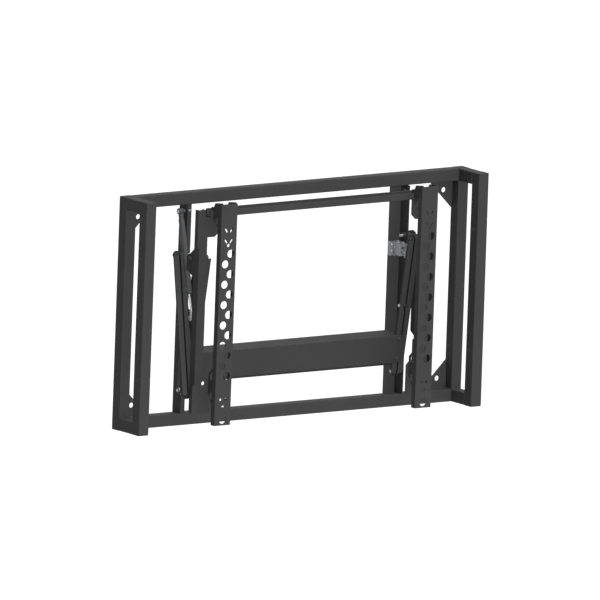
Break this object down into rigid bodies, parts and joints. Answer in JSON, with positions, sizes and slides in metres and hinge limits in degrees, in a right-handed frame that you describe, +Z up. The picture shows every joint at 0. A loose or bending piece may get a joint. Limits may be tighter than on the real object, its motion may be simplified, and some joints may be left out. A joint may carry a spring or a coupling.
{
  "type": "video wall display mount",
  "caption": "Scissor-action wall mount in a deep tube frame, with slotted rails hooked on a bar that carry a flat display and push forward for service.",
  "frame": {"origin": "middle of the wall side, at the centre of the pattern of wall bolts", "axes": "+Z is up, -Y points away from the wall to the display, +X is to the right as seen from the display side"},
  "size_m": [1.024, 0.166, 0.576],
  "materials": {
    "frame_black": "fine black powder coat",
    "arm_black": "fine black powder coat",
    "bright_zinc": "bright zinc plate",
    "latch_silver": "bare die casting",
    "strut_grey": "smooth dark enamel",
    "chromed_rod": "ground and chromed",
    "nylon_white": "moulded nylon",
    "cap_black": "moulded plastic"
  },
  "bodies": {
    "frame": {"rear_top_beam": "frame_black", "rear_bottom_beam": "frame_black", "rear_post_left": "frame_black", "rear_post_right": "frame_black", "front_post_left": "frame_black", "front_post_right": "frame_black", "top_side_member_left": "frame_black", "top_side_member_right": "frame_black", "bottom_side_member_left": "frame_black", "bottom_side_member_right": "frame_black", "post_end_plugs": "cap_black", "gusset_top_left": "frame_black", "gusset_top_right": "frame_black", "gusset_bottom_left": "frame_black", "gusset_bottom_right": "frame_black", "fixed_upright_left": "frame_black", "fixed_upright_right": "frame_black", "rear_pivot_bolts": "bright_zinc", "upright_top_studs": "bright_zinc", "latch_case": "latch_silver", "latch_screws": "bright_zinc", "pawl_pin": "bright_zinc"},
    "outer_arm_right": {"outer_arm_right": "arm_black", "front_slide_bolt_right": "bright_zinc", "front_slide_roller_right": "nylon_white"},
    "outer_arm_left": {"outer_arm_left": "arm_black", "front_slide_bolt_left": "bright_zinc", "front_slide_roller_left": "nylon_white", "strut_low_stud": "bright_zinc"},
    "inner_arms": {"inner_arm_left": "arm_black", "inner_arm_right": "arm_black", "torsion_beam": "frame_black", "torsion_beam_screws": "bright_zinc", "centre_pivot_bolts": "bright_zinc", "rear_slide_bolts": "bright_zinc", "rear_slide_rollers": "nylon_white", "latch_striker": "latch_silver"},
    "carriage": {"carriage_upright_left": "frame_black", "carriage_upright_right": "frame_black", "top_corner_plate_left": "frame_black", "top_corner_plate_right": "frame_black", "bottom_corner_plate_left": "frame_black", "bottom_corner_plate_right": "frame_black", "hook_bar": "frame_black", "hook_bar_screws": "bright_zinc", "front_pivot_bolts": "bright_zinc"},
    "rail_left": {"display_rail_left": "frame_black", "upper_hook_bracket_left": "frame_black", "lower_bracket_left": "frame_black", "plumb_screw_left": "bright_zinc"},
    "rail_right": {"display_rail_right": "frame_black", "upper_hook_bracket_right": "frame_black", "lower_bracket_right": "frame_black", "plumb_screw_right": "bright_zinc"},
    "strut_barrel": {"strut_tube": "strut_grey", "strut_top_socket": "bright_zinc"},
    "strut_piston": {"strut_rod": "chromed_rod", "strut_low_socket": "bright_zinc"},
    "latch_pawl": {"latch_pawl": "latch_silver"}
  },
  "joints": [
    {"name": "scissor_opening", "type": "hinge", "parent": "frame", "child": "outer_arm_right", "pos_m": [0.3505, -0.024, 0.134], "axis": [-1, 0, 0], "range_deg": [0, 30]},
    {"name": "outer_arm_left_turn", "type": "hinge", "parent": "frame", "child": "outer_arm_left", "pos_m": [-0.3505, -0.024, 0.134], "axis": [-1, 0, 0], "range_deg": [0, 30]},
    {"name": "inner_arms_turn", "type": "hinge", "parent": "outer_arm_right", "child": "inner_arms", "pos_m": [0.3315, -0.052, -0.034], "axis": [-1, 0, 0], "range_deg": [-60, 0]},
    {"name": "carriage_turn", "type": "hinge", "parent": "inner_arms", "child": "carriage", "pos_m": [0.3125, -0.08, 0.134], "axis": [-1, 0, 0], "range_deg": [0, 30]},
    {"name": "strut_barrel_turn", "type": "hinge", "parent": "frame", "child": "strut_barrel", "pos_m": [-0.3425, -0.02, 0.241], "axis": [-1, 0, 0], "range_deg": [0, 18.2]},
    {"name": "strut_piston_turn", "type": "hinge", "parent": "outer_arm_left", "child": "strut_piston", "pos_m": [-0.3425, -0.084, -0.012], "axis": [-1, 0, 0], "range_deg": [-12, 0]},
    {"name": "rail_left_slide", "type": "slide", "parent": "carriage", "child": "rail_left", "axis": [1, 0, 0], "range_m": [-0.008, 0.02]},
    {"name": "rail_right_slide", "type": "slide", "parent": "carriage", "child": "rail_right", "axis": [1, 0, 0], "range_m": [-0.02, 0.008]},
    {"name": "latch_turn", "type": "hinge", "parent": "frame", "child": "latch_pawl", "pos_m": [0.314, -0.02, 0.106], "axis": [1, 0, 0], "range_deg": [0, 30]}
  ],
  "couplings": [
    {"joint": "outer_arm_left_turn", "follows": "scissor_opening", "ratio": 1},
    {"joint": "inner_arms_turn", "follows": "scissor_opening", "ratio": -2},
    {"joint": "carriage_turn", "follows": "scissor_opening", "ratio": 1},
    {"joint": "strut_barrel_turn", "follows": "scissor_opening", "ratio": 0.6045},
    {"joint": "strut_piston_turn", "follows": "scissor_opening", "ratio": -0.3955}
  ]
}
